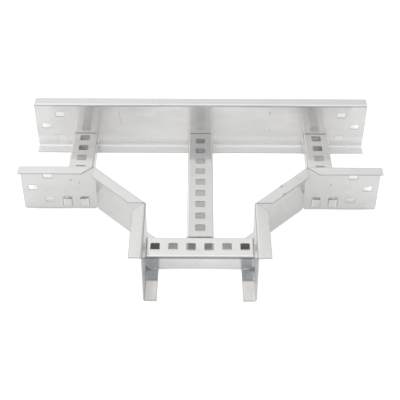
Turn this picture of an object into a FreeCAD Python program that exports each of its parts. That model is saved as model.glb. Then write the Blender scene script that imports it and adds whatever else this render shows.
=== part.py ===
import FreeCAD, Part
import math
import os

import Sketcher

# Cable tray tee, built as the real one is: seven separate pieces folded from flat sheet.
# One straight side rail closes the back of the run. Two side rails turn the corners from
# the run into the branch, each folded twice by 45 degrees. Three short perforated rungs and
# a long one in the middle make the floor, held by tongues that pass through windows in the
# rails and are folded over outside.
# Millimetres. X runs along the tray, the branch leaves towards -Y, Z is up, and the origin
# is the middle of the whole tee's outline at its underside.

os.makedirs("parts", exist_ok=True)
doc = FreeCAD.newDocument("cable_tray_tee")
dims = doc.addObject("Spreadsheet::Sheet", "dims")
dims.Label = "dims"
TILT = FreeCAD.Vector(0, 1, 0)


class Formula:
    """A size or a sum of sizes: its formula for the sheet's cells, and its present value."""

    def __init__(self, text, value):
        self.text = text
        self.value = value

    def _join(self, sign, other, result):
        text = other.text if isinstance(other, Formula) else repr(other)
        return Formula("(%s %s %s)" % (self.text, sign, text), result)

    @staticmethod
    def _number(other):
        return other.value if isinstance(other, Formula) else other

    def __add__(self, other):
        return self._join("+", other, self.value + self._number(other))

    def __sub__(self, other):
        return self._join("-", other, self.value - self._number(other))

    def __mul__(self, other):
        return self._join("*", other, self.value * self._number(other))

    def __truediv__(self, other):
        return self._join("/", other, self.value / self._number(other))

    def __neg__(self):
        return Formula("(0 - %s)" % self.text, -self.value)

    def whole(self):
        return Formula("floor(%s)" % self.text, float(math.floor(self.value)))


def size(name, text):
    """One driving dimension: a named cell of the sheet."""
    size.row += 1
    dims.set("A%d" % size.row, name)
    dims.set("B%d" % size.row, text)
    dims.setAlias("B%d" % size.row, name)
    return Formula("dims." + name, float(text))


size.row = 0

# Overall sizes of the tee.
clear_width = size("clear_width", "200")
run_length = size("run_length", "700")
rail_height = size("rail_height", "110")
corner_run = size("corner_run", "104")
branch_leg = size("branch_leg", "143")

# Folded sheet of the side rails: top flange outwards, bottom flange inwards.
sheet = size("sheet", "2")
fold_radius = size("fold_radius", "2.5")
top_flange = size("top_flange", "24.5")
bottom_flange = size("bottom_flange", "24.5")
bend_radius = size("bend_radius", "3")
notch_root = size("notch_root", "1")

# Rungs: channels open downwards, with a row of wide slots in the top.
rung_sheet = size("rung_sheet", "1.5")
rung_fold = size("rung_fold", "2")
rung_width = size("rung_width", "51")
rung_depth = size("rung_depth", "31")
rung_lift = size("rung_lift", "4.5")
rung_gap = size("rung_gap", "0.4")
rung_corner = size("rung_corner", "5")
side_rung_inset = size("side_rung_inset", "103.5")
branch_rung_inset = size("branch_rung_inset", "103.5")
rung_slot = size("rung_slot", "17")
rung_slot_across = size("rung_slot_across", "19")
rung_slot_radius = size("rung_slot_radius", "2.5")
rung_slot_pitch = size("rung_slot_pitch", "33.5")
rung_slot_margin = size("rung_slot_margin", "6.5")

# Tongues of the rungs and the windows in the rails that they pass through.
tongue_low = size("tongue_low", "4")
tongue_height = size("tongue_height", "19.5")
tongue_flap = size("tongue_flap", "15")
tongue_fold = size("tongue_fold", "1")
tongue_root = size("tongue_root", "4")
tongue_spring = size("tongue_spring", "4")
tongue_seat = size("tongue_seat", "0.2")
window_gap = size("window_gap", "0.5")
window_headroom = size("window_headroom", "4")
window_width = size("window_width", "16")
window_radius = size("window_radius", "2.5")

# Splice slots at every rail end: one at mid height near the end, two further in.
splice_slot = size("splice_slot", "18")
splice_slot_height = size("splice_slot_height", "12.4")
splice_slot_radius = size("splice_slot_radius", "3")
splice_near = size("splice_near", "21.5")
splice_far = size("splice_far", "52")
splice_spacing = size("splice_spacing", "60")

# Places that several pieces share, from the middle of the run.
half_clear = clear_width / 2
outer_face = half_clear + sheet
bend_line = outer_face + corner_run
branch_end = bend_line + branch_leg
half_run = run_length / 2
setback = bend_radius * math.tan(math.radians(22.5))
run_line = (branch_end - half_clear - top_flange) / 2
side_rung_line = half_run - side_rung_inset
branch_rung_line = branch_end - branch_rung_inset
half_rung = rung_width / 2
wall_hole_top = rung_lift + tongue_low + tongue_height + window_headroom
wall_hole_low = rung_lift + tongue_low - window_gap


def plane(body, role):
    return [item for item in body.Origin.OriginFeatures if item.Role == role][0]


def bind(item, prop, formula):
    """Ties a property to the sheet, or sets it where it is a plain number."""
    if isinstance(formula, Formula):
        item.setExpression(prop, formula.text)


def new_body(name, x=0, y=0, z=0, turn=0):
    """A piece with its own frame, placed in the tee by the shared sizes."""
    body = doc.addObject("PartDesign::Body", name)
    body.Label = name
    upright = FreeCAD.Vector(0, 0, 1)
    body.Placement = FreeCAD.Placement(FreeCAD.Vector(0, 0, 0), FreeCAD.Rotation(upright, turn))
    bind(body, "Placement.Base.x", x)
    bind(body, "Placement.Base.y", y)
    bind(body, "Placement.Base.z", z)
    return body


def new_sketch(body, name, role, x=0, y=0, z=0, turn=0):
    """A sketch on one of the piece's own origin planes, offset in the plane's own directions."""
    sketch = body.newObject("Sketcher::SketchObject", name)
    sketch.AttachmentSupport = [(plane(body, role), "")]
    sketch.MapMode = "FlatFace"
    sketch.AttachmentOffset = FreeCAD.Placement(FreeCAD.Vector(0, 0, 0), FreeCAD.Rotation(TILT, turn))
    bind(sketch, "AttachmentOffset.Base.x", x)
    bind(sketch, "AttachmentOffset.Base.y", y)
    bind(sketch, "AttachmentOffset.Base.z", z)
    return sketch


def rule(sketch, formula, *terms):
    """Adds a constraint whose size follows the sheet."""
    index = sketch.addConstraint(Sketcher.Constraint(*terms, formula.value))
    sketch.setExpression("Constraints[%d]" % index, formula.text)


def value_of(formula):
    return formula.value if isinstance(formula, Formula) else float(formula)


def add_arc(sketch, centre, radius, start, end, left_turn):
    """An arc from start to end; returns its index and which of its ends comes first."""
    first, last = (start, end) if left_turn else (end, start)
    angles = [math.atan2(p.y - centre.y, p.x - centre.x) for p in (first, last)]
    if angles[1] < angles[0]:
        angles[1] += 2 * math.pi
    circle = Part.Circle(centre, FreeCAD.Vector(0, 0, 1), radius)
    index = sketch.addGeometry(Part.ArcOfCircle(circle, angles[0], angles[1]), False)
    return (index, 1, 2) if left_turn else (index, 2, 1)


def outline(sketch, corners):
    """A closed outline of level and upright lines with sharp or rounded corners.

    Each corner is x, y and the radius of its rounding, which is 0 where it is sharp.
    """
    count = len(corners)
    points = [FreeCAD.Vector(value_of(x), value_of(y), 0) for x, y, r in corners]
    radii = [value_of(r) for x, y, r in corners]
    ways = [(points[(i + 1) % count] - points[i]).normalize() for i in range(count)]
    lines = []
    for i in range(count):
        start = points[i] + ways[i] * radii[i]
        end = points[(i + 1) % count] - ways[i] * radii[(i + 1) % count]
        line = sketch.addGeometry(Part.LineSegment(start, end), False)
        lines.append(line)
        level = abs(ways[i].y) < 0.5
        sketch.addConstraint(Sketcher.Constraint("Horizontal" if level else "Vertical", line))
        place = corners[i][1] if level else corners[i][0]
        if isinstance(place, Formula):
            rule(sketch, place, "DistanceY" if level else "DistanceX", -1, 1, line, 1)
        else:
            sketch.addConstraint(Sketcher.Constraint("PointOnObject", line, 1, -1 if level else -2))
    for i in range(count):
        before = lines[i - 1]
        after = lines[i]
        if not radii[i]:
            sketch.addConstraint(Sketcher.Constraint("Coincident", before, 2, after, 1))
            continue
        start = points[i] - ways[i - 1] * radii[i]
        end = points[i] + ways[i] * radii[i]
        centre = start + ways[i] * radii[i]
        left_turn = ways[i - 1].cross(ways[i]).z > 0
        arc, first, last = add_arc(sketch, centre, radii[i], start, end, left_turn)
        sketch.addConstraint(Sketcher.Constraint("Tangent", before, 2, arc, first))
        sketch.addConstraint(Sketcher.Constraint("Tangent", arc, last, after, 1))
        rule(sketch, corners[i][2], "Radius", arc)


def polygon(sketch, corners):
    """A closed outline of straight lines, each corner held by its own x and y."""
    count = len(corners)
    points = [FreeCAD.Vector(value_of(x), value_of(y), 0) for x, y in corners]
    lines = []
    for i in range(count):
        side = Part.LineSegment(points[i], points[(i + 1) % count])
        lines.append(sketch.addGeometry(side, False))
    for i in range(count):
        sketch.addConstraint(Sketcher.Constraint("Coincident", lines[i - 1], 2, lines[i], 1))
        rule(sketch, corners[i][0], "DistanceX", -1, 1, lines[i], 1)
        rule(sketch, corners[i][1], "DistanceY", -1, 1, lines[i], 1)


def rectangle(sketch, x, y, width, height, radius):
    """A rectangle about the point x, y with rounded corners."""
    left = x - width / 2
    right = x + width / 2
    low = y - height / 2
    high = y + height / 2
    outline(sketch, [
        (left, low, radius),
        (right, low, radius),
        (right, high, radius),
        (left, high, radius),
    ])


def pad(body, name, sketch, length, symmetric=False, reverse=False):
    feature = body.newObject("PartDesign::Pad", name)
    feature.Profile = sketch
    feature.Length = length.value
    bind(feature, "Length", length)
    if symmetric:
        feature.SideType = "Symmetric"
    feature.Reversed = reverse
    return feature


def pocket_through(body, name, sketch):
    """Cuts the sketch through the whole piece on both sides of its plane."""
    feature = body.newObject("PartDesign::Pocket", name)
    feature.Profile = sketch
    feature.Type = "ThroughAll"
    feature.SideType = "Symmetric"
    return feature


def leg(body, name, x, y, turn, length, symmetric=False):
    """One straight stretch of a side rail, from the foot of its outer face at x, y."""
    sketch = new_sketch(body, name + "_section", "YZ_Plane", x=y, z=x, turn=turn)
    outer = fold_radius + sheet
    under = rail_height - sheet
    tip = sheet - top_flange
    outline(sketch, [
        (tip, under, 0),
        (0, under, fold_radius),
        (0, 0, outer),
        (bottom_flange, 0, 0),
        (bottom_flange, sheet, 0),
        (sheet, sheet, fold_radius),
        (sheet, rail_height, outer),
        (tip, rail_height, 0),
    ])
    return pad(body, name, sketch, length, symmetric)


def bend(body, name, x, y, turn):
    """The web's upright 45 degree fold about the line at x, y. The flanges stay open there."""
    sketch = new_sketch(body, name + "_section", "YZ_Plane", x=y, z=x, turn=turn)
    low = fold_radius + sheet
    high = rail_height - fold_radius
    near = bend_radius
    far = bend_radius + sheet
    outline(sketch, [(near, low, 0), (far, low, 0), (far, high, 0), (near, high, 0)])
    feature = body.newObject("PartDesign::Revolution", name)
    feature.Profile = sketch
    feature.ReferenceAxis = (sketch, ["V_Axis"])
    feature.Angle = 45
    feature.Reversed = True
    return feature


def splice_holes(body, name, role, end, inwards):
    """The three slots of one rail end; inwards is 1 or -1 along the sketch's x."""
    sketch = new_sketch(body, name + "_plan", role)
    middle = rail_height / 2
    radius = splice_slot_radius
    near = end + splice_near * inwards
    far = end + splice_far * inwards
    rectangle(sketch, near, middle, splice_slot, splice_slot_height, radius)
    rectangle(sketch, far, middle - splice_spacing / 2, splice_slot, splice_slot_height, radius)
    rectangle(sketch, far, middle + splice_spacing / 2, splice_slot, splice_slot_height, radius)
    return pocket_through(body, name, sketch)


def rung_windows(sketch, line, low, high):
    """The two windows that take one rung's tongues, for a rung centred on the given line."""
    reach = half_rung + window_gap
    for side in (-1, 1):
        outside = line + reach * side
        inside = line + (reach - window_width) * side
        left, right = (outside, inside) if side < 0 else (inside, outside)
        head = window_radius
        outline(sketch, [(left, low, 0), (right, low, 0), (right, high, head), (left, high, head)])


def rung_holes(body, name, role, line):
    """The windows of one rung in a side rail's web."""
    sketch = new_sketch(body, name + "_plan", role)
    rung_windows(sketch, line, wall_hole_low, wall_hole_top)
    return pocket_through(body, name, sketch)


# Straight rail along the back of the run. Its own frame faces the same way as the front
# rails' run leg, so the piece is turned by half a turn into its place.
back_rail = new_body("back_rail", y=run_line + outer_face, turn=180)
zero = Formula("0", 0.0)
leg(back_rail, "rail", 0, 0, 0, run_length, symmetric=True)
rung_holes(back_rail, "middle_rung_windows", "XZ_Plane", zero)
end_holes = splice_holes(back_rail, "end_slots", "XZ_Plane", -half_run, 1)
side_holes = rung_holes(back_rail, "side_rung_windows", "XZ_Plane", -side_rung_line)
other_end = back_rail.newObject("PartDesign::Mirrored", "other_end")
other_end.Originals = [end_holes, side_holes]
other_end.MirrorPlane = (plane(back_rail, "YZ_Plane"), [""])
back_rail.Tip = other_end

# Corner rail on the left: a leg along the run, a diagonal and a leg along the branch, with
# the web carried round both bends, the top flange notched there and the bottom one slit.
left_rail = new_body("left_corner_rail", y=run_line)
root_half = math.sqrt(0.5)
diagonal_length = corner_run * math.sqrt(2.0) - setback * 2
leg(left_rail, "run_leg", -half_run, -outer_face, 0, half_run - bend_line - setback)
bend(left_rail, "run_bend", -bend_line - setback, -outer_face - bend_radius, 0)
diagonal_x = -bend_line + setback * root_half
diagonal_y = -outer_face - setback * root_half
leg(left_rail, "diagonal", diagonal_x, diagonal_y, -45, diagonal_length)
bend(left_rail, "branch_bend", -outer_face - bend_radius, -bend_line - setback, -45)
leg(left_rail, "branch_leg", -outer_face, -bend_line - setback, -90, branch_leg - setback)

# The flange notches: 45 degrees to each side of the bend before folding.
notch_reach = top_flange * 1.5
root_x = notch_root * math.sin(math.radians(22.5))
root_y = notch_root * math.cos(math.radians(22.5))
notches = new_sketch(left_rail, "notch_plan", "XY_Plane", z=rail_height)
apex_x = -bend_line - root_x
apex_y = -outer_face - root_y
polygon(notches, [
    (apex_x, apex_y),
    (apex_x - notch_reach, apex_y - notch_reach),
    (apex_x, apex_y - notch_reach * 2),
])
apex_x = -outer_face - root_y
apex_y = -bend_line - root_x
polygon(notches, [
    (apex_x, apex_y),
    (apex_x - notch_reach * 2, apex_y),
    (apex_x - notch_reach, apex_y - notch_reach),
])
notch_cut = left_rail.newObject("PartDesign::Pocket", "flange_notches")
notch_cut.Profile = notches
bind(notch_cut, "Length", sheet + fold_radius)

splice_holes(left_rail, "run_slots", "XZ_Plane", -half_run, 1)
rung_holes(left_rail, "run_windows", "XZ_Plane", -side_rung_line)
splice_holes(left_rail, "branch_slots", "YZ_Plane", -branch_end, 1)
rung_holes(left_rail, "branch_windows", "YZ_Plane", -branch_rung_line)

# The other corner rail is folded to the other hand.
right_rail = doc.addObject("Part::Mirroring", "right_corner_rail")
right_rail.Label = "right_corner_rail"
right_rail.Source = left_rail
right_rail.Normal = FreeCAD.Vector(1, 0, 0)


def tongue(body, name, end, wall, way):
    """A tongue on the wall's end at +X, through a web of the given thickness and folded over it.

    The end is where the web's inner face lies along the rung, and way is 1 or -1 along Y.
    """
    sketch = new_sketch(body, name + "_plan", "XY_Plane", z=tongue_low)
    outer = half_rung.value
    inner = outer - rung_sheet.value
    radius = tongue_fold.value
    arc_y = end + (wall + tongue_seat - tongue_fold) * way
    start_y = end - (rung_gap + tongue_root) * way
    pivot = FreeCAD.Vector(inner - radius, arc_y.value, 0)
    swing = math.radians(90 - tongue_spring.value)
    along = FreeCAD.Vector(-math.sin(swing), way * math.cos(swing), 0)
    away = FreeCAD.Vector(math.cos(swing), way * math.sin(swing), 0)
    flap = along * tongue_flap.value
    outer_end = pivot + away * (radius + rung_sheet.value)
    inner_end = pivot + away * radius
    outer_root = FreeCAD.Vector(outer, start_y.value, 0)
    inner_root = FreeCAD.Vector(inner, start_y.value, 0)
    outer_turn = FreeCAD.Vector(outer, arc_y.value, 0)
    inner_turn = FreeCAD.Vector(inner, arc_y.value, 0)

    def line(start, stop):
        return sketch.addGeometry(Part.LineSegment(start, stop), False)

    outside = line(outer_root, outer_turn)
    inside = line(inner_root, inner_turn)
    root = line(inner_root, outer_root)
    back = line(outer_end, outer_end + flap)
    front = line(inner_end, inner_end + flap)
    tip = line(outer_end + flap, inner_end + flap)
    big_radius = radius + rung_sheet.value
    big, big_first, big_last = add_arc(sketch, pivot, big_radius, outer_turn, outer_end, way > 0)
    small, small_first, small_last = add_arc(sketch, pivot, radius, inner_turn, inner_end, way > 0)
    rules = [
        ("Vertical", outside),
        ("Vertical", inside),
        ("Horizontal", root),
        ("Coincident", root, 1, inside, 1),
        ("Coincident", root, 2, outside, 1),
        ("Tangent", outside, 2, big, big_first),
        ("Tangent", inside, 2, small, small_first),
        ("Tangent", big, big_last, back, 1),
        ("Tangent", small, small_last, front, 1),
        ("Coincident", big, 3, small, 3),
        ("Coincident", back, 2, tip, 1),
        ("Coincident", front, 2, tip, 2),
        ("Perpendicular", tip, back),
        ("Parallel", back, front),
    ]
    for item in rules:
        sketch.addConstraint(Sketcher.Constraint(*item))
    rule(sketch, half_rung, "DistanceX", -1, 1, outside, 1)
    rule(sketch, rung_sheet, "DistanceX", inside, 1, outside, 1)
    rule(sketch, start_y, "DistanceY", -1, 1, root, 1)
    rule(sketch, arc_y, "DistanceY", -1, 1, small, 3)
    rule(sketch, tongue_fold, "Radius", small)
    rule(sketch, tongue_flap, "Distance", back, 1, back, 2)
    spring_text = "(%s * %d deg)" % (tongue_spring.text, -way)
    spring = Formula(spring_text, math.radians(tongue_spring.value * -way))
    rule(sketch, spring, "Angle", -1, 2, back, 1)
    return pad(body, name, sketch, tongue_height)


def rung(name, x, y, turn, front, back, front_wall, back_wall):
    """A rung between two webs, whose inner faces lie at front and back along its own Y."""
    body = new_body(name, x=x, y=y, z=rung_lift, turn=turn)
    length = back - front - rung_gap * 2
    section = new_sketch(body, "channel_section", "XZ_Plane", z=-(front + rung_gap))
    inner = half_rung - rung_sheet
    under = rung_depth - rung_sheet
    outline(section, [
        (-half_rung, 0, 0),
        (-inner, 0, 0),
        (-inner, under, rung_fold),
        (inner, under, rung_fold),
        (inner, 0, 0),
        (half_rung, 0, 0),
        (half_rung, rung_depth, rung_fold + rung_sheet),
        (-half_rung, rung_depth, rung_fold + rung_sheet),
    ])
    pad(body, "channel", section, length, reverse=True)
    corners = new_sketch(body, "corner_plan", "YZ_Plane")
    low = -rung_depth * 0.2
    for end, way in ((front + rung_gap, 1), (back - rung_gap, -1)):
        polygon(corners, [
            (end, rung_corner),
            (end + rung_corner * way, zero),
            (end + rung_corner * way, low),
            (end - rung_corner * way, low),
            (end - rung_corner * way, rung_corner),
        ])
    pocket_through(body, "cut_corners", corners)
    back_pad = tongue(body, "back_tongue", back, back_wall, 1)
    front_pad = tongue(body, "front_tongue", front, front_wall, -1)
    both = body.newObject("PartDesign::Mirrored", "tongue_pairs")
    both.Originals = [back_pad, front_pad]
    both.MirrorPlane = (plane(body, "YZ_Plane"), [""])
    body.Tip = both
    count = ((length - rung_slot_margin * 2 - rung_slot) / rung_slot_pitch).whole() + 1
    middle = (front + back) / 2
    first = middle - (count - 1) * rung_slot_pitch / 2
    slots = new_sketch(body, "slot_plan", "XY_Plane", z=rung_depth)
    rectangle(slots, zero, first, rung_slot_across, rung_slot, rung_slot_radius)
    cut = body.newObject("PartDesign::Pocket", "slot")
    cut.Profile = slots
    bind(cut, "Length", rung_sheet * 2)
    row = body.newObject("PartDesign::LinearPattern", "slot_row")
    row.Originals = [cut]
    row.Direction = (plane(body, "Y_Axis"), [""])
    row.Mode = "Spacing"
    bind(row, "Offset", rung_slot_pitch)
    bind(row, "Occurrences", count)
    body.Tip = row
    return body


rung("left_rung", -side_rung_line, run_line, 0, -half_clear, half_clear, sheet, sheet)
rung("right_rung", side_rung_line, run_line, 0, -half_clear, half_clear, sheet, sheet)

# The branch's rung lies across it, and its back wall carries the middle rung's front end.
branch_y = run_line - branch_rung_line
branch_rung = rung("branch_rung", zero, branch_y, 90, -half_clear, half_clear, sheet, sheet)
branch_holes = new_sketch(branch_rung, "wall_windows", "YZ_Plane")
hole_low = tongue_low - window_gap
hole_top = tongue_low + tongue_height + window_headroom / 2
rung_windows(branch_holes, zero, hole_low, hole_top)
cut = branch_rung.newObject("PartDesign::Pocket", "wall_holes")
cut.Profile = branch_holes
cut.Type = "ThroughAll"
cut.Reversed = True
branch_rung.Tip = cut
rung("middle_rung", zero, run_line, 0, -branch_rung_line + half_rung, half_clear, rung_sheet, sheet)

doc.recompute()

NODES = (
    "back_rail", "left_corner_rail", "right_corner_rail",
    "left_rung", "right_rung", "middle_rung", "branch_rung",
)
for item in doc.Objects:
    if "Invalid" in item.State or "Error" in item.State:
        raise RuntimeError("%s failed: %s" % (item.Name, item.State))
for name in NODES:
    shape = doc.getObject(name).Shape
    if shape.isNull() or not shape.isValid() or len(shape.Solids) != 1:
        raise RuntimeError("%s has no single valid solid" % name)
for name in NODES:
    shape = doc.getObject(name).Shape
    shape.exportStep("parts/%s.step" % name)
    box = shape.BoundBox
    print("%-18s volume %9.0f  x %7.1f %7.1f  y %7.1f %7.1f  z %6.1f %6.1f" % (
        name, shape.Volume, box.XMin, box.XMax, box.YMin, box.YMax, box.ZMin, box.ZMax))
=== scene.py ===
import math

import bpy
from mathutils import Matrix, Vector


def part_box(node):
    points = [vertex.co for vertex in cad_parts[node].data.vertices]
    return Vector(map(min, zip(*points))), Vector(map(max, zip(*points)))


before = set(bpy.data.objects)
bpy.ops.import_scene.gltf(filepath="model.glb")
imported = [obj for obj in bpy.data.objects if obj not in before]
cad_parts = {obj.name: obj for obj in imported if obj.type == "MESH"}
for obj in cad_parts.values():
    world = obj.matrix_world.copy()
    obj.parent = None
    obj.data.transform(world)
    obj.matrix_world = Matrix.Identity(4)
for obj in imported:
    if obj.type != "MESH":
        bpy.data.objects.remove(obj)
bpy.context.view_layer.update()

bl_info = {
    "name": "Cable tray tee",
    "version": (1, 0, 0),
    "blender": (4, 5, 0),
    "location": "View3D > Sidebar > Tray",
    "description": "Mill-finish sheet, cut edges and studio for a folded cable tray tee",
    "category": "Object",
}

# Lengths and places are in metres.
# The way that each piece's sheet was rolled: along X, along Y, or round the corner.
RAILS = {"back_rail": "run", "left_corner_rail": "corner", "right_corner_rail": "corner"}
RUNGS = {"left_rung": "across", "right_rung": "across", "middle_rung": "across", "branch_rung": "run"}
# Where the corner rails bend: along X on the run, along Y on the branch.
ARM_BEND = 0.206
BRANCH_BEND = -0.09375

# Noise in the sheet: how often it changes along, across and through the rolling direction,
# how many finer layers it has, and how strong those are.
STREAKS = ((3.0, 260.0, 260.0), 4.0, 0.6)
HAIRLINES = ((14.0, 1500.0, 1500.0), 2.0, 0.5)
STAINS = ((6.0, 14.0, 14.0), 5.0, 0.62)
SMUDGES = ((38.0, 38.0, 38.0), 6.0, 0.7)
SPECKS = ((330.0, 330.0, 330.0), 1.0, 0.5)
SEED_STEP = 3.1
FIRST_SEEDS = {"rails": 1.7, "rungs": 14.3}

# How pale each piece of sheet is beside the others, which is painted light and shade for how each piece
# reflects the room, and the shades within one piece.
PAINTED_LIGHT_TONES = {"middle_rung": 0.95, "branch_rung": 1.03, "left_rung": 1.05, "right_rung": 1.05}
DULL = (0.94, 0.94, 0.94)
LIGHT = (1.03, 1.03, 1.03)
WORN = (0.86, 0.85, 0.835)

# From a noise's low and high value to what it does at each: share of a colour, or added roughness.
STAIN_SHARE = (0.35, 0.65, 0.0, 1.0)
STREAK_SHARE = (0.35, 0.7, 0.0, 0.3)
SMUDGE_SHARE = (0.50, 0.74, 0.0, 0.5)
SPECK_SHARE = (0.74, 0.80, 0.0, 0.5)
EDGE_FLECKS = (0.35, 0.65, 0.6, 1.0)
DIRT_FLECKS = (0.3, 0.6, 0.4, 0.85)
STREAK_ROUGHNESS = (0.3, 0.7, -0.02, 0.02)
STAIN_VALUES = (0.3, 0.7)
STAIN_ROUGHNESS = (0.04, -0.03)

# Cut edges: how far into the sheet they are looked for, as a share of its thickness, the open shares
# between which their look comes in, and how much rougher than the sheet they are.
EDGE_DEPTH = 0.7
EDGE_SKY = (0.90, 0.80)
EDGE_ROUGHNESS = 0.12
# Grain: how much the hairlines add to the streaks, how plain the bump is, and the quarter turn by
# which reflections are drawn out across the rolling direction.
HAIRLINE_SHARE = 0.4
BUMP_STRENGTH = 0.35
ACROSS_THE_GRAIN = 0.25

# Painted reflection along the upper folds: a dark line where they would mirror the darker room; its lowest
# and highest place, and how plain it is.
PAINTED_REFLECTION_LINES = {"rail": (0.1060, 0.1086, 0.45), "rung": (0.0296, 0.0332, 1.0)}
PAINTED_REFLECTION_LINE_BLUR = (0.0003, 0.0006)

# Back rail: heights at which the bottom flange ends, its dull finish fades and its painted light fades,
# the places along Y and in height of the painted highlight on the bottom fold, and the height where the top
# flange's painted shade starts.
FLANGE_END = (0.0021, 0.0028)
DULL_FADE = (0.0021, 0.026)
PAINTED_LIGHT_FADE = (0.016, 0.034)
BOTTOM_FOLD_HIGHLIGHT = ((0.2080, 0.2088), (0.0046, 0.0054))
FOLD_SMOOTHING = 0.6
FOLD_DULLNESS = 0.75
TOP_FLANGE = (0.1085, 0.1092)
TOP_FLANGE_SHADE = 0.6
CHANNEL_BLUR = 0.003

# Rungs, measured outwards from the rung's own end, and the band of painted highlight on each side fold,
# inwards from its side.
DIRT_BAND = ((-0.0018, -0.0011), (0.0002, 0.0008))
TONGUE_START = (0.0003, 0.0008)
SIDE_FOLD_HIGHLIGHT = (0.0036, 0.0024)
# Branch rung: depth of its front wall, and how far from the middle the painted reflection on its ends
# starts.
FRONT_WALL = (0.0006, 0.0012)
PAINTED_REFLECTION_ENDS = (0.0715, 0.0775)

# A mark fades from full at its core to nothing at its rim, by the squared share of its half sizes.
MARK_CORE, MARK_RIM = 0.3, 1.0
# Small marks on single pieces: centre and half sizes, lean of the long way, depth of colour.
MARKS = {
    "left_corner_rail": (
        ((-0.2530, 0.0103, 0.0738), (0.0030, 0.01, 0.0022), -0.8, 0.6),
        ((-0.2367, 0.0103, 0.0675), (0.0015, 0.01, 0.0038), 0.0, 0.6),
    ),
    "right_corner_rail": (
        ((0.2559, 0.0103, 0.0647), (0.0023, 0.01, 0.0022), 0.0, 0.7),
        ((0.1515, -0.0455, 0.1095), (0.0045, 0.006, 0.0020), 0.0, 0.8),
        ((0.1574, -0.0705, 0.1095), (0.0050, 0.006, 0.0020), 0.0, 0.7),
    ),
    "back_rail": (
        ((0.1465, 0.2123, 0.0898), (0.0016, 0.01, 0.0034), 0.0, 0.7),
        ((0.1475, 0.2123, 0.0458), (0.0016, 0.01, 0.0028), 0.0, 0.5),
        ((0.3059, 0.2123, 0.0881), (0.0020, 0.01, 0.0024), 0.0, 0.7),
        ((-0.1709, 0.2123, 0.0785), (0.0011, 0.01, 0.0240), 0.127, 0.35),
    ),
}

# Floor: how far off a piece still shades it, and the open shares between which that shade clears.
SKY_REACH = 0.06
SKY_SHARES = (0.10, 0.45)
FRONT_REACH = 0.15
FRONT_SHARES = (0.12, 0.45)
FRONT_WAY = {"X": 0.0, "Y": -0.8, "Z": 0.6}
# Its glow in full shade and in the open, for the camera, and for the sheet by its open share.
SHOWN_GLOW = (0.13, 0.75)
MIRRORED_GLOW = (0.0, 0.40, 0.12, 0.38)
# How far it lies under the rails.
FLOOR_GAP = 0.0005
# Soft shade behind the rails' webs: the web's place along Y, how far back the shade goes, and the
# least X that it has, if any. Its ends lean outwards by a share of the way back.
RAIL_SHADES = ((0.2133, 0.178, None), (0.0113, 0.135, 0.245))
SHADE_LEAN = 0.22
SHADE_START = (-0.01, 0.01)
SHADE_FADE = 0.66
SHADE_ENDS = (0.318, 0.352)
SHADE_INNER_BLUR = 0.04

# Room: heights, as the sine of the angle above the floor, between which the light grows and
# falls off again, and the height and the bearing of the darker part.
GROWING_LIGHT = (0.60, 0.93)
ZENITH = (0.94, 0.99)
DARK_HEIGHTS = ((0.655, 0.69), (0.77, 0.85))
DARK_BEARING = (0.983, 0.999)

# Camera: where it stands, and its own right, up and backward directions.
EYE = (-0.00059, -1.35291, 1.2347)
EYE_RIGHT = (0.99999, 0.002953, 0.003344)
EYE_UP = (-0.004458, 0.634039, 0.773288)
EYE_BACK = (0.000164, -0.773295, 0.634046)
SENSOR_WIDTH = 36.0


class Tree:
    """A node tree with short calls for the few kinds of node that the finishes use."""

    def __init__(self, owner):
        owner.use_nodes = True
        self.tree = owner.node_tree
        self.tree.nodes.clear()

    def fill(self, socket, value):
        if isinstance(value, bpy.types.NodeSocket):
            self.tree.links.new(value, socket)
        else:
            socket.default_value = value

    def add(self, kind, settings=None, **inputs):
        node = self.tree.nodes.new(kind)
        for name, value in (settings or {}).items():
            setattr(node, name, value)
        for name, value in inputs.items():
            self.fill(node.inputs[name.replace("_", " ")], value)
        return node

    def place(self):
        """The point on the surface, in the object's own space."""
        return self.add("ShaderNodeTexCoord").outputs["Object"]

    def part(self, vector, axis):
        return self.add("ShaderNodeSeparateXYZ", Vector=vector).outputs[axis]

    def math(self, operation, first, second=None):
        node = self.add("ShaderNodeMath", {"operation": operation})
        self.fill(node.inputs[0], first)
        if second is not None:
            self.fill(node.inputs[1], second)
        return node.outputs[0]

    def times(self, first, second):
        return self.math("MULTIPLY", first, second)

    def spread(self, value, low, high, out_low=0.0, out_high=1.0, smooth=True):
        """Maps a value from low..high to out_low..out_high."""
        shape = "SMOOTHSTEP" if smooth else "LINEAR"
        node = self.add("ShaderNodeMapRange", {"interpolation_type": shape}, Value=value, From_Min=low,
                        From_Max=high, To_Min=out_low, To_Max=out_high)
        return node.outputs["Result"]

    def band(self, value, rise, fall):
        """1 between two soft edges, each given by where it starts and ends."""
        return self.times(self.spread(value, *rise), self.spread(value, *fall, 1.0, 0.0))

    def less(self, mask, share):
        """1 where the mask is 0, down to 1 - share where it is 1."""
        return self.math("SUBTRACT", 1.0, self.times(mask, share))

    def mix(self, factor, first, second):
        """Mixes two colours."""
        node = self.add("ShaderNodeMix", {"data_type": "RGBA"})
        for index, value in ((0, factor), (6, first), (7, second)):
            self.fill(node.inputs[index], value)
        return node.outputs[2]

    def mix_vector(self, factor, first, second):
        node = self.add("ShaderNodeMix", {"data_type": "VECTOR"})
        for index, value in ((0, factor), (4, first), (5, second)):
            self.fill(node.inputs[index], value)
        return node.outputs[1]


def solid(colour, shade=(1.0, 1.0, 1.0)):
    """A colour for a node's socket, multiplied by a shade."""
    return tuple(min(1.0, c * s) for c, s in zip(colour, shade)) + (1.0,)


def grey(level):
    return (level, level, level, 1.0)


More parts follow.
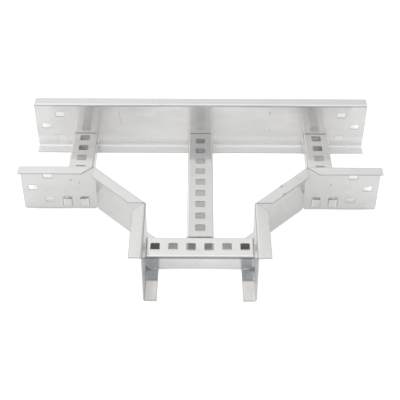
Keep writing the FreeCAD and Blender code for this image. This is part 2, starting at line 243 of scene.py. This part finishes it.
class TraySheet(bpy.types.PropertyGroup):
    colour: bpy.props.FloatVectorProperty(
        name="Sheet colour", description="Colour of the bare rolled sheet",
        subtype="COLOR", size=3, min=0.0, max=1.0, default=(0.81, 0.805, 0.80))
    roughness: bpy.props.FloatProperty(
        name="Rail roughness", description="Mean roughness of the rails' mill finish",
        min=0.0, max=1.0, default=0.20)
    rail_draw: bpy.props.FloatProperty(
        name="Rail draw", description="How far the rails' grain draws out reflections",
        min=0.0, max=1.0, default=0.99)
    rung_roughness: bpy.props.FloatProperty(
        name="Rung roughness", description="Mean roughness of the rungs' smoother sheet",
        min=0.0, max=1.0, default=0.14)
    rung_draw: bpy.props.FloatProperty(
        name="Rung draw", description="How far the rungs' grain draws out reflections",
        min=0.0, max=1.0, default=0.6)
    grain_depth: bpy.props.FloatProperty(
        name="Grain depth", description="Height of the rolling grain",
        min=0.0, max=0.001, precision=6, default=0.00002, unit="LENGTH")
    rail_thickness: bpy.props.FloatProperty(
        name="Rail sheet", description="Thickness of the rails' sheet",
        min=0.0, max=0.01, precision=5, default=0.002, unit="LENGTH")
    rung_thickness: bpy.props.FloatProperty(
        name="Rung sheet", description="Thickness of the rungs' sheet",
        min=0.0, max=0.01, precision=5, default=0.0015, unit="LENGTH")
    edge_colour: bpy.props.FloatVectorProperty(
        name="Cut edge colour", description="Colour of sheared and punched edges",
        subtype="COLOR", size=3, min=0.0, max=1.0, default=(0.56, 0.53, 0.49))
    edge_width: bpy.props.FloatProperty(
        name="Edge rounding", description="How far the rubbed look reaches in from each edge",
        min=0.0, max=0.005, precision=5, default=0.0007, unit="LENGTH")
    stain_colour: bpy.props.FloatVectorProperty(
        name="Stain colour", description="Colour of small handling marks and specks",
        subtype="COLOR", size=3, min=0.0, max=1.0, default=(0.42, 0.38, 0.33))
    # Painted reflection: dark line along the upper folds.
    painted_reflection_line_colour: bpy.props.FloatVectorProperty(
        name="Brake line colour", description="Colour of the line that the brake leaves along a fold",
        subtype="COLOR", size=3, min=0.0, max=1.0, default=(0.30, 0.32, 0.34))
    scuffing: bpy.props.FloatProperty(
        name="Scuffed flange", description="How much rougher the back rail's bottom flange is",
        min=0.0, max=1.0, default=0.36)
    chalkiness: bpy.props.FloatProperty(
        name="Chalky flange", description="How far the scuffed bottom flanges have turned dull and pale",
        min=0.0, max=1.0, default=0.45)
    # Painted light on the back rail's bottom flange and low web.
    painted_light_colour: bpy.props.FloatVectorProperty(
        name="Rubbed colour", description="Colour of the back rail's scuffed bottom flange",
        subtype="COLOR", size=3, min=0.0, max=1.0, default=(0.94, 0.935, 0.93))
    # Painted highlight on the back rail's bottom fold.
    painted_fold_highlight: bpy.props.FloatVectorProperty(
        name="Bright fold", description="Colour of the burnished fold over the back rail's bottom flange",
        subtype="COLOR", size=3, min=0.0, max=1.0, default=(1.0, 0.995, 0.99))
    # Painted highlight along the rungs' side folds.
    painted_side_fold_highlight: bpy.props.FloatVectorProperty(
        name="Rung fold colour", description="Colour of the worn folds along a rung's top",
        subtype="COLOR", size=3, min=0.0, max=1.0, default=(0.97, 0.95, 0.91))
    # Painted reflection of the bottom flanges on the branch rung's front wall.
    painted_reflection_colour: bpy.props.FloatVectorProperty(
        name="Dark end colour", description="Colour of the branch rung's front wall over the bottom flanges",
        subtype="COLOR", size=3, min=0.0, max=1.0, default=(0.66, 0.69, 0.71))
    dirt_colour: bpy.props.FloatVectorProperty(
        name="Joint dirt", description="Colour of the dirt where a rung meets the webs",
        subtype="COLOR", size=3, min=0.0, max=1.0, default=(0.36, 0.30, 0.24))
    tongue_colour: bpy.props.FloatVectorProperty(
        name="Tongue colour", description="Colour of the middle rung's tarnished tongues",
        subtype="COLOR", size=3, min=0.0, max=1.0, default=(0.52, 0.505, 0.49))
    tongue_reach: bpy.props.FloatProperty(
        name="Tongue reach", description="How far a rung's tongues reach past its own end",
        min=0.0, max=0.02, precision=5, default=0.0051, unit="LENGTH")


class TrayStage(bpy.types.PropertyGroup):
    floor_size: bpy.props.FloatProperty(
        name="Floor size", description="Side of the square floor", min=1.0, default=8.0, unit="LENGTH")
    floor_level: bpy.props.FloatProperty(
        name="Floor grey", description="How pale the floor is", min=0.0, max=1.0, default=0.6)
    rail_shade: bpy.props.FloatProperty(
        name="Shade behind rails", description="How much darker the floor is behind the rails' webs",
        min=0.0, max=1.0, default=0.66)
    lens: bpy.props.FloatProperty(
        name="Lens", description="Focal length of the camera", min=10.0, default=82.51)
    shift: bpy.props.FloatProperty(
        name="Lens shift", description="Upward shift of the camera's frame", default=-0.09054)
    side_light: bpy.props.FloatProperty(
        name="Room light", description="Strength of the room at the height of the walls", default=0.84)
    top_light: bpy.props.FloatProperty(
        name="Overhead light", description="Strength of the soft light overhead", default=1.3)
    zenith: bpy.props.FloatProperty(
        name="Zenith", description="Share of the overhead light that is left straight above", default=0.78)
    left_light: bpy.props.FloatProperty(
        name="Light from the left", description="How much brighter the left of the room is", default=0.35)
    front_shade: bpy.props.FloatVectorProperty(
        name="Front shade", description="Colour of the darker room on the camera's side",
        subtype="COLOR", size=3, min=0.0, max=1.0, default=(0.04, 0.08, 0.11))


def grain_frame(tree, kind, position):
    """Position with the rolling direction turned to X, and the rolling direction itself."""
    along_x = tree.add("ShaderNodeCombineXYZ", X=1.0, Y=0.0, Z=0.0).outputs[0]
    along_y = tree.add("ShaderNodeCombineXYZ", X=0.0, Y=1.0, Z=0.0).outputs[0]
    about_z = {"rotation_type": "Z_AXIS"}
    if kind == "run":
        return position, along_x
    turned = tree.add("ShaderNodeVectorRotate", about_z, Vector=position, Angle=math.pi / 2).outputs[0]
    if kind == "across":
        return turned, along_y
    across = tree.part(position, "X")
    side = tree.math("SIGN", across)
    on_run = tree.math("GREATER_THAN", tree.math("ABSOLUTE", across), ARM_BEND)
    on_branch = tree.math("LESS_THAN", tree.part(position, "Y"), BRANCH_BEND)
    eighth_turn = tree.times(side, -math.pi / 4)
    slanted = tree.add("ShaderNodeVectorRotate", about_z, Vector=position, Angle=eighth_turn).outputs[0]
    slope = tree.add("ShaderNodeCombineXYZ", X=side, Y=1.0, Z=0.0).outputs[0]
    coords = tree.mix_vector(on_branch, tree.mix_vector(on_run, slanted, position), turned)
    way = tree.mix_vector(on_branch, tree.mix_vector(on_run, slope, along_x), along_y)
    return coords, way


def noise(tree, coords, kind, *offset):
    """Noise that is drawn out by different amounts each way."""
    scale, detail, roughness = kind
    placed = tree.add("ShaderNodeMapping", {"vector_type": "POINT"}, Vector=coords,
                      Location=offset, Scale=scale).outputs[0]
    return tree.add("ShaderNodeTexNoise", Vector=placed, Scale=1.0, Detail=detail,
                    Roughness=roughness).outputs["Fac"]


def mark(tree, place, centre, half, lean):
    """A soft blot, 1 at its middle, with its upper end leaning against X."""
    rise = tree.math("SUBTRACT", tree.part(place, "Z"), centre[2])
    along = tree.math("SUBTRACT", tree.part(place, "X"), centre[0])
    along = tree.math("ADD", along, tree.times(rise, lean))
    across = tree.math("SUBTRACT", tree.part(place, "Y"), centre[1])
    total = None
    for value, size in ((along, half[0]), (across, half[1]), (rise, half[2])):
        share = tree.math("POWER", tree.math("ABSOLUTE", tree.math("DIVIDE", value, size)), 2.0)
        total = share if total is None else tree.math("ADD", total, share)
    return tree.spread(total, MARK_CORE, MARK_RIM, 1.0, 0.0)


def cut_edges(tree, thickness, specks):
    """1 on sheared edges: rays sent into the sheet there meet its side within its thickness."""
    depth = tree.add("ShaderNodeAmbientOcclusion", {"samples": 12, "inside": True, "only_local": True},
                     Distance=thickness * EDGE_DEPTH).outputs["AO"]
    return tree.times(tree.spread(depth, *EDGE_SKY), tree.spread(specks, *EDGE_FLECKS))


def handling_marks(tree, name, place, specks):
    """Specks all over, and the piece's own small marks."""
    speck = tree.spread(specks, *SPECK_SHARE)
    for centre, half, lean, depth in MARKS.get(name, ()):
        speck = tree.math("MAXIMUM", speck, tree.times(mark(tree, place, centre, half, lean), depth))
    return speck


def rung_wear(tree, look, name, kind, place, specks, colour):
    """Dirt at a rung's ends, darker tongues, painted highlights on the side folds, and on the branch rung a
    painted reflection that darkens the front wall's ends.
    """
    low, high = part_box(name)
    axis = 0 if kind == "run" else 1
    middle = (low[axis] + high[axis]) / 2
    end = (high[axis] - low[axis]) / 2 - look.tongue_reach
    reach = tree.math("ABSOLUTE", tree.math("SUBTRACT", tree.part(place, "XYZ"[axis]), middle))
    dirt = tree.band(reach, *([end + value for value in edge] for edge in DIRT_BAND))
    dirt = tree.times(dirt, tree.spread(specks, *DIRT_FLECKS))
    colour = tree.mix(dirt, colour, solid(look.dirt_colour))
    if name == "branch_rung":
        # Painted reflection: the front wall is darker at its ends, over the bottom flanges.
        front = tree.spread(tree.part(place, "Y"), *(low[1] + depth for depth in FRONT_WALL), 1.0, 0.0)
        front = tree.times(front, tree.spread(reach, *PAINTED_REFLECTION_ENDS))
        colour = tree.mix(front, colour, solid(look.painted_reflection_colour))
    if name == "middle_rung":
        # The tongues past the rung's end are darker.
        darker_tongues = tree.spread(reach, *(end + value for value in TONGUE_START))
        colour = tree.mix(darker_tongues, colour, solid(look.tongue_colour))
    if kind == "across":
        aside = tree.math("SUBTRACT", tree.part(place, "X"), (low[0] + high[0]) / 2)
        side = (high[0] - low[0]) / 2
        # Painted highlight: the side folds are paler, for the light their rounding reflects.
        fold = tree.spread(tree.math("ABSOLUTE", aside), *(side - value for value in SIDE_FOLD_HIGHLIGHT))
        colour = tree.mix(fold, colour, solid(look.painted_side_fold_highlight))
    return colour


def back_rail_wear(tree, look, place, colour, dull, rough):
    """Scuffed bottom flange; painted light on it and the low web, a painted highlight on the bottom fold,
    and painted shade on the top flange.
    """
    height = tree.part(place, "Z")
    scuffed = tree.spread(height, *FLANGE_END, 1.0, 0.0)
    rough = tree.math("ADD", rough, tree.times(scuffed, look.scuffing))
    # Painted light: the bottom flange and the low web are paler, for the light they would reflect.
    colour = tree.mix(tree.spread(height, *PAINTED_LIGHT_FADE, 1.0, 0.0), colour, solid(look.painted_light_colour))
    # Painted highlight along the bottom fold, where the sheet is also smoother and less metallic.
    fold = tree.times(tree.spread(tree.part(place, "Y"), *BOTTOM_FOLD_HIGHLIGHT[0]),
                      tree.spread(height, *BOTTOM_FOLD_HIGHLIGHT[1], 1.0, 0.0))
    colour = tree.mix(fold, colour, solid(look.painted_fold_highlight))
    # Painted shade: the top flange is mixed towards the duller sheet colour.
    colour = tree.mix(tree.spread(height, *TOP_FLANGE, 0.0, TOP_FLANGE_SHADE), colour, dull)
    rough = tree.times(rough, tree.less(fold, FOLD_SMOOTHING))
    metal = tree.spread(height, *DULL_FADE, 1.0 - look.chalkiness, 1.0)
    metal = tree.math("MINIMUM", metal, tree.less(fold, FOLD_DULLNESS))
    return colour, rough, metal


def dull_in_channel(tree, look, place):
    """Dull bottom flange of a corner rail, where it lies in the branch rung's channel."""
    near, far = (corner[1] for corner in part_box("branch_rung"))
    under = tree.band(tree.part(place, "Y"), (near, near + CHANNEL_BLUR), (far - CHANNEL_BLUR, far))
    under = tree.times(under, tree.spread(tree.part(place, "Z"), *FLANGE_END, 1.0, 0.0))
    return tree.less(under, look.chalkiness)


def sheet_material(name, kind, thickness, roughness, draw, seed):
    """Bright rolled sheet: grain along the piece, faint stains and browner cut edges."""
    look = bpy.context.scene.tray_sheet
    material = bpy.data.materials.new("rolled_" + name)
    tree = Tree(material)
    place = tree.place()
    coords, way = grain_frame(tree, kind, place)
    streaks = noise(tree, coords, STREAKS, seed, seed * 2.0, 0.0)
    hairlines = noise(tree, coords, HAIRLINES, seed * 3.0, seed, 0.0)
    stains = noise(tree, coords, STAINS, seed, 0.0, seed)
    smudges = noise(tree, place, SMUDGES, seed, seed * 1.3, seed)
    specks = noise(tree, place, SPECKS, seed, seed, seed)
    edge = cut_edges(tree, thickness, specks)
    speck = handling_marks(tree, name, place, specks)

    # Painted light and shade: each piece's sheet is paler or darker for how it reflects the room.
    sheet = tuple(c * PAINTED_LIGHT_TONES.get(name, 1.0) for c in look.colour)
    # A duller shade of the sheet: for random stains, and on the back rail for the top flange's painted
    # shade.
    dull = solid(sheet, DULL)
    colour = tree.mix(tree.spread(stains, *STAIN_SHARE), dull, solid(sheet))
    colour = tree.mix(tree.spread(streaks, *STREAK_SHARE), colour, solid(sheet, LIGHT))
    colour = tree.mix(tree.spread(smudges, *SMUDGE_SHARE), colour, solid(sheet, WORN))
    colour = tree.mix(speck, colour, solid(look.stain_colour))
    colour = tree.mix(edge, colour, solid(look.edge_colour))
    if name in RUNGS:
        colour = rung_wear(tree, look, name, kind, place, specks, colour)

    # Painted reflection: a dark line along the upper folds.
    low, high, plain = PAINTED_REFLECTION_LINES["rung" if name in RUNGS else "rail"]
    reflection_line = tree.band(tree.part(place, "Z"), (low - PAINTED_REFLECTION_LINE_BLUR[0], low), (high, high + PAINTED_REFLECTION_LINE_BLUR[1]))
    colour = tree.mix(tree.times(reflection_line, plain), colour, solid(look.painted_reflection_line_colour))

    rough = tree.spread(stains, *STAIN_VALUES, *(roughness + more for more in STAIN_ROUGHNESS))
    rough = tree.math("ADD", rough, tree.spread(streaks, *STREAK_ROUGHNESS))
    rough = tree.math("ADD", rough, tree.times(tree.math("MAXIMUM", edge, speck), EDGE_ROUGHNESS))
    metal = 1.0
    if name == "back_rail":
        colour, rough, metal = back_rail_wear(tree, look, place, colour, dull, rough)
    elif name in RAILS:
        metal = dull_in_channel(tree, look, place)

    rounded = tree.add("ShaderNodeBevel", {"samples": 4}, Radius=look.edge_width).outputs["Normal"]
    grain = tree.math("ADD", tree.times(hairlines, HAIRLINE_SHARE), streaks)
    bump = tree.add("ShaderNodeBump", Strength=BUMP_STRENGTH, Distance=look.grain_depth,
                    Height=grain, Normal=rounded).outputs["Normal"]
    shader = tree.add("ShaderNodeBsdfPrincipled", Base_Color=colour, Metallic=metal, Roughness=rough,
                      Normal=bump, Tangent=way, Anisotropic=draw, Anisotropic_Rotation=ACROSS_THE_GRAIN)
    tree.add("ShaderNodeOutputMaterial", Surface=shader.outputs["BSDF"])
    return material


def dress(names, thickness, roughness, draw, first_seed):
    """Gives each folded piece its own sheet, with the grain along the piece."""
    for index, (name, kind) in enumerate(names.items()):
        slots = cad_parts[name].data.materials
        slots.clear()
        slots.append(sheet_material(name, kind, thickness, roughness, draw, first_seed + index * SEED_STEP))


class TRAY_OT_rails(bpy.types.Operator):
    """Mill-finish sheet on the three side rails"""
    bl_idname = "tray.rails"
    bl_label = "Dress side rails"

    def execute(self, context):
        look = context.scene.tray_sheet
        dress(RAILS, look.rail_thickness, look.roughness, look.rail_draw, FIRST_SEEDS["rails"])
        return {"FINISHED"}


class TRAY_OT_rungs(bpy.types.Operator):
    """Mill-finish sheet on the four rungs"""
    bl_idname = "tray.rungs"
    bl_label = "Dress rungs"

    def execute(self, context):
        look = context.scene.tray_sheet
        dress(RUNGS, look.rung_thickness, look.rung_roughness, look.rung_draw, FIRST_SEEDS["rungs"])
        return {"FINISHED"}


def shade_behind_rails(tree):
    """Soft shade on the floor behind each web, with ends that lean outwards."""
    place = tree.place()
    reach = tree.math("ABSOLUTE", tree.part(place, "X"))
    shade = None
    for web, last, inner in RAIL_SHADES:
        back = tree.math("SUBTRACT", tree.part(place, "Y"), web)
        line = tree.math("SUBTRACT", reach, tree.times(back, SHADE_LEAN))
        part = tree.band(back, SHADE_START, (last * SHADE_FADE, last))
        part = tree.times(part, tree.spread(line, *SHADE_ENDS, 1.0, 0.0))
        if inner is not None:
            part = tree.times(part, tree.spread(line, inner, inner + SHADE_INNER_BLUR))
        shade = part if shade is None else tree.math("MAXIMUM", shade, part)
    return shade


def floor_material(stage):
    """White floor that keeps the shadow in the rungs' hollows and shows white in the sheet."""
    material = bpy.data.materials.new("floor_white")
    tree = Tree(material)
    rays = tree.add("ShaderNodeLightPath").outputs
    open_sky = tree.add("ShaderNodeAmbientOcclusion", {"samples": 12}, Distance=SKY_REACH).outputs["AO"]
    front_way = tree.add("ShaderNodeCombineXYZ", **FRONT_WAY).outputs[0]
    open_front = tree.add("ShaderNodeAmbientOcclusion", {"samples": 16}, Distance=FRONT_REACH,
                          Normal=front_way).outputs["AO"]
    shown = tree.times(tree.spread(open_front, *FRONT_SHARES), tree.spread(open_sky, *SKY_SHARES))
    shown = tree.spread(shown, 0.0, 1.0, *SHOWN_GLOW, smooth=False)
    shown = tree.times(shown, tree.less(shade_behind_rails(tree), stage.rail_shade))
    seen = tree.times(rays["Is Camera Ray"], shown)
    mirrored = tree.times(rays["Is Glossy Ray"], tree.spread(open_sky, *MIRRORED_GLOW))
    matt = tree.add("ShaderNodeBsdfDiffuse", Color=grey(stage.floor_level))
    glow = tree.add("ShaderNodeEmission", Color=grey(1.0), Strength=tree.math("ADD", seen, mirrored))
    both = tree.add("ShaderNodeAddShader")
    tree.fill(both.inputs[0], matt.outputs[0])
    tree.fill(both.inputs[1], glow.outputs[0])
    tree.add("ShaderNodeOutputMaterial", Surface=both.outputs[0])
    return material


def studio_world(stage):
    """Soft white room: brightest high up, brighter on the left, darker in one part on the near side."""
    world = bpy.data.worlds.new("studio")
    bpy.context.scene.world = world
    tree = Tree(world)
    way = tree.add("ShaderNodeTexCoord").outputs["Generated"]
    across, along, height = (tree.part(way, axis) for axis in "XYZ")
    rise = tree.spread(height, *GROWING_LIGHT, stage.side_light, stage.top_light)
    rise = tree.times(rise, tree.spread(height, *ZENITH, 1.0, stage.zenith))
    rise = tree.math("SUBTRACT", rise, tree.times(across, stage.left_light))
    plain = tree.add("ShaderNodeCombineColor", Red=rise, Green=rise, Blue=rise).outputs[0]
    level = tree.math("SQRT", tree.math("ADD", tree.times(across, across), tree.times(along, along)))
    facing = tree.math("DIVIDE", tree.times(along, -1.0), tree.math("MAXIMUM", level, 0.001))
    dark = tree.times(tree.spread(facing, *DARK_BEARING), tree.band(height, *DARK_HEIGHTS))
    room = tree.mix(dark, plain, solid(stage.front_shade))
    seen = tree.mix(tree.add("ShaderNodeLightPath").outputs["Is Camera Ray"], room, grey(1.0))
    light = tree.add("ShaderNodeBackground", Color=seen, Strength=1.0)
    tree.add("ShaderNodeOutputWorld", Surface=light.outputs[0])


def lay_floor(scene, stage):
    """Square floor just under the rails."""
    half = stage.floor_size / 2
    corners = [(-half, -half, 0), (half, -half, 0), (half, half, 0), (-half, half, 0)]
    mesh = bpy.data.meshes.new("floor")
    mesh.from_pydata(corners, [], [(0, 1, 2, 3)])
    mesh.materials.append(floor_material(stage))
    floor = bpy.data.objects.new("floor", mesh)
    floor.location.z = -FLOOR_GAP
    scene.collection.objects.link(floor)


def set_camera(scene, stage):
    """Camera at the photograph's viewing angle."""
    eye = bpy.data.cameras.new("camera")
    eye.lens = stage.lens
    eye.sensor_width = SENSOR_WIDTH
    eye.shift_y = stage.shift
    camera = bpy.data.objects.new("camera", eye)
    turn = Matrix((Vector(EYE_RIGHT), Vector(EYE_UP), Vector(EYE_BACK))).transposed().to_4x4()
    camera.matrix_world = Matrix.Translation(EYE) @ turn
    scene.collection.objects.link(camera)
    scene.camera = camera


class TRAY_OT_stage(bpy.types.Operator):
    """Floor, light and camera"""
    bl_idname = "tray.stage"
    bl_label = "Set the stage"

    def execute(self, context):
        scene = context.scene
        stage = scene.tray_stage
        lay_floor(scene, stage)
        studio_world(stage)
        set_camera(scene, stage)
        scene.view_settings.view_transform = "Standard"
        return {"FINISHED"}


class TRAY_PT_panel(bpy.types.Panel):
    """Sizes and colours of the tray tee's looks"""
    bl_label = "Cable tray tee"
    bl_idname = "TRAY_PT_panel"
    bl_space_type = "VIEW_3D"
    bl_region_type = "UI"
    bl_category = "Tray"

    def draw(self, context):
        layout = self.layout
        for group in (context.scene.tray_sheet, context.scene.tray_stage):
            box = layout.box()
            for name in group.__annotations__:
                box.prop(group, name)
        for operator in (TRAY_OT_rails, TRAY_OT_rungs, TRAY_OT_stage):
            layout.operator(operator.bl_idname)


CLASSES = (TraySheet, TrayStage, TRAY_OT_rails, TRAY_OT_rungs, TRAY_OT_stage, TRAY_PT_panel)


def register():
    for item in CLASSES:
        bpy.utils.register_class(item)
    bpy.types.Scene.tray_sheet = bpy.props.PointerProperty(type=TraySheet)
    bpy.types.Scene.tray_stage = bpy.props.PointerProperty(type=TrayStage)


def unregister():
    del bpy.types.Scene.tray_stage
    del bpy.types.Scene.tray_sheet
    for item in reversed(CLASSES):
        bpy.utils.unregister_class(item)


def main():
    register()
    bpy.ops.tray.rails()
    bpy.ops.tray.rungs()
    bpy.ops.tray.stage()


if __name__ == "__main__":
    main()
